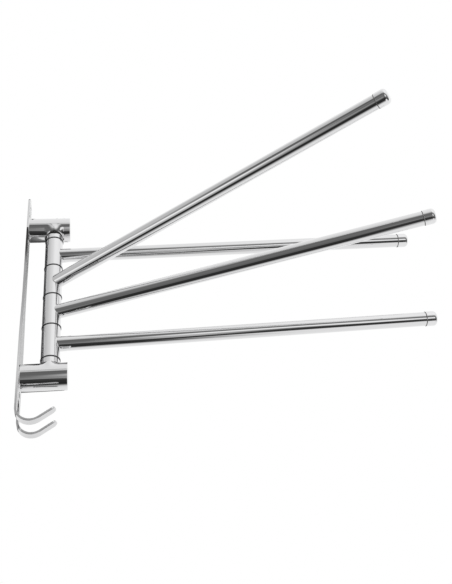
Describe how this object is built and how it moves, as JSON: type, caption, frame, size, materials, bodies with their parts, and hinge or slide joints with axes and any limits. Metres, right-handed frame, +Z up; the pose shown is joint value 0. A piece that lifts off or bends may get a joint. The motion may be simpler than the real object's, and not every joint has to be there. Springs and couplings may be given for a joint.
{
  "type": "swing arm towel bar",
  "caption": "Wall-mounted towel rail: long tubular arms swing on a vertical spindle between two short posts, over a bent plate that ends in a pair of hooks.",
  "frame": {"origin": "on the wall plate's back face, which lies on the wall, midway between the two posts", "axes": "+Y into the wall, -Y out along the arms when they stand straight out, +Z up along the spindle"},
  "size_m": [0.2382, 0.3712, 0.2524],
  "materials": {
    "polished_steel": "polished",
    "plate_steel": "polished, slightly brushed along its length",
    "dark_plastic": "matt",
    "white_plastic": "matt",
    "zinc_steel": "zinc plated"
  },
  "bodies": {
    "base": {"wall_plate": "plate_steel", "upper_post": "polished_steel", "lower_post": "polished_steel", "upper_post_plug": "polished_steel", "lower_post_plug": "polished_steel", "upper_collar": "polished_steel", "lower_collar": "polished_steel", "spindle": "zinc_steel", "upper_spindle_nut": "zinc_steel", "lower_spindle_nut": "zinc_steel", "spacer_ring_1": "dark_plastic", "spacer_ring_2": "dark_plastic", "spacer_ring_3": "dark_plastic", "spacer_ring_4": "dark_plastic", "spacer_ring_5": "dark_plastic"},
    "swing_arm_1": {"sleeve_1": "polished_steel", "bush_1_upper": "white_plastic", "bush_1_lower": "white_plastic", "arm_1": "polished_steel", "arm_cap_1": "polished_steel"},
    "swing_arm_2": {"sleeve_2": "polished_steel", "bush_2_upper": "white_plastic", "bush_2_lower": "white_plastic", "arm_2": "polished_steel", "arm_cap_2": "polished_steel"},
    "swing_arm_3": {"sleeve_3": "polished_steel", "bush_3_upper": "white_plastic", "bush_3_lower": "white_plastic", "arm_3": "polished_steel", "arm_cap_3": "polished_steel"},
    "swing_arm_4": {"sleeve_4": "polished_steel", "bush_4_upper": "white_plastic", "bush_4_lower": "white_plastic", "arm_4": "polished_steel", "arm_cap_4": "polished_steel"}
  },
  "joints": [
    {"name": "arm_1_swing", "type": "hinge", "parent": "base", "child": "swing_arm_1", "pos_m": [0, -0.0255, 0.0501], "axis": [0, 0, 1], "range_deg": [-88.2, 91.8]},
    {"name": "arm_2_swing", "type": "hinge", "parent": "base", "child": "swing_arm_2", "pos_m": [0, -0.0255, 0.0167], "axis": [0, 0, 1], "range_deg": [-50.4, 129.6]},
    {"name": "arm_3_swing", "type": "hinge", "parent": "base", "child": "swing_arm_3", "pos_m": [0, -0.0255, -0.0167], "axis": [0, 0, 1], "range_deg": [-70.2, 109.8]},
    {"name": "arm_4_swing", "type": "hinge", "parent": "base", "child": "swing_arm_4", "pos_m": [0, -0.0255, -0.0501], "axis": [0, 0, 1], "range_deg": [-87.6, 92.4]}
  ]
}
